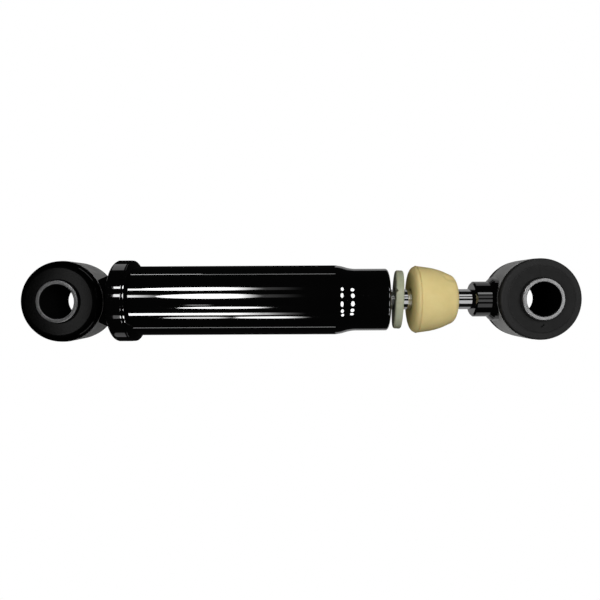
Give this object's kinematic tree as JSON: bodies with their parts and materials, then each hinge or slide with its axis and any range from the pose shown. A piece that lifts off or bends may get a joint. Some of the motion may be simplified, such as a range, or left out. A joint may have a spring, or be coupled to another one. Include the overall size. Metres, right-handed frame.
{
  "type": "cab shock absorber",
  "caption": "Telescopic twin-tube damper with a rubber-bushed eye at each end, a necked black tube, a chromed rod, a loose washer and a foam bump stop.",
  "frame": {"origin": "middle of the base eye's bore", "axes": "+X along the damper from the base eye to the rod eye, +Z along both bores, up as it lies in the picture"},
  "size_m": [0.3312, 0.0496, 0.0496],
  "materials": {
    "black_paint": "gloss black paint over steel",
    "bush_rubber": "matt moulded rubber",
    "sleeve_steel": "turned, dull",
    "rod_chrome": "hard chrome, ground and polished",
    "bump_foam": "moulded foam with a matt skin",
    "washer_plastic": "moulded, satin",
    "inner_steel": "oiled bare steel",
    "sintered_iron": "oiled sintered iron",
    "bush_bronze": "lined bronze",
    "seal_rubber": "oiled rubber",
    "band_plastic": "filled fluoropolymer"
  },
  "bodies": {
    "cylinder": {"base_eye_ring": "black_paint", "base_eye_bush": "bush_rubber", "base_eye_weld": "black_paint", "base_cap": "black_paint", "tube_weld": "black_paint", "reservoir_tube": "black_paint", "pressure_tube": "inner_steel", "foot_valve_body": "sintered_iron", "foot_valve_discs": "inner_steel", "foot_valve_pin": "inner_steel", "rod_guide": "sintered_iron", "guide_o_ring": "seal_rubber", "guide_bush": "bush_bronze", "rod_seal": "seal_rubber", "seal_washer": "inner_steel"},
    "base_sleeve": {"base_eye_sleeve": "sleeve_steel"},
    "foot_plate": {"foot_valve_plate": "inner_steel"},
    "washer": {"stop_washer": "washer_plastic"},
    "band": {"piston_band": "band_plastic"},
    "rod": {"piston_rod": "rod_chrome", "rebound_stop_ring": "inner_steel", "rebound_bumper": "seal_rubber", "piston_lift_stop": "inner_steel", "piston": "sintered_iron", "piston_discs": "inner_steel", "piston_nut": "inner_steel", "rod_eye_shank": "black_paint", "rod_eye_weld": "black_paint", "rod_eye_ring": "black_paint", "rod_eye_bush": "bush_rubber"},
    "piston_plate": {"piston_check_plate": "inner_steel"},
    "bump": {"bump_stop": "bump_foam"},
    "rod_sleeve": {"rod_eye_sleeve": "sleeve_steel"}
  },
  "joints": [
    {"name": "stroke", "type": "slide", "parent": "cylinder", "child": "washer", "axis": [1, 0, 0], "range_m": [-0.00233, 0.0419]},
    {"name": "bump_crush", "type": "slide", "parent": "washer", "child": "band", "axis": [1, 0, 0], "range_m": [-0.029, 0], "stiffness_N_per_m": 20000, "deforming": ["bump_stop"]},
    {"name": "rod_spin", "type": "hinge", "parent": "band", "child": "rod", "pos_m": [0, 0, 0], "axis": [1, 0, 0], "continuous": true},
    {"name": "bump_slip", "type": "slide", "parent": "rod", "child": "bump", "axis": [1, 0, 0], "range_m": [0, 0.0103]},
    {"name": "base_sleeve_twist", "type": "hinge", "parent": "cylinder", "child": "base_sleeve", "pos_m": [0, 0, 0], "axis": [0, 0, 1], "range_deg": [-15, 15], "stiffness_Nm_per_rad": 20},
    {"name": "rod_sleeve_twist", "type": "hinge", "parent": "rod", "child": "rod_sleeve", "pos_m": [0.2828, 0, 0], "axis": [0, 0, 1], "range_deg": [-15, 15], "stiffness_Nm_per_rad": 20},
    {"name": "foot_plate_lift", "type": "slide", "parent": "cylinder", "child": "foot_plate", "axis": [1, 0, 0], "range_m": [0, 0.00078]},
    {"name": "piston_plate_lift", "type": "slide", "parent": "rod", "child": "piston_plate", "axis": [1, 0, 0], "range_m": [0, 0.00078]}
  ],
  "couplings": [
    {"joint": "bump_slip", "follows": "bump_crush", "ratio": -0.35517}
  ]
}
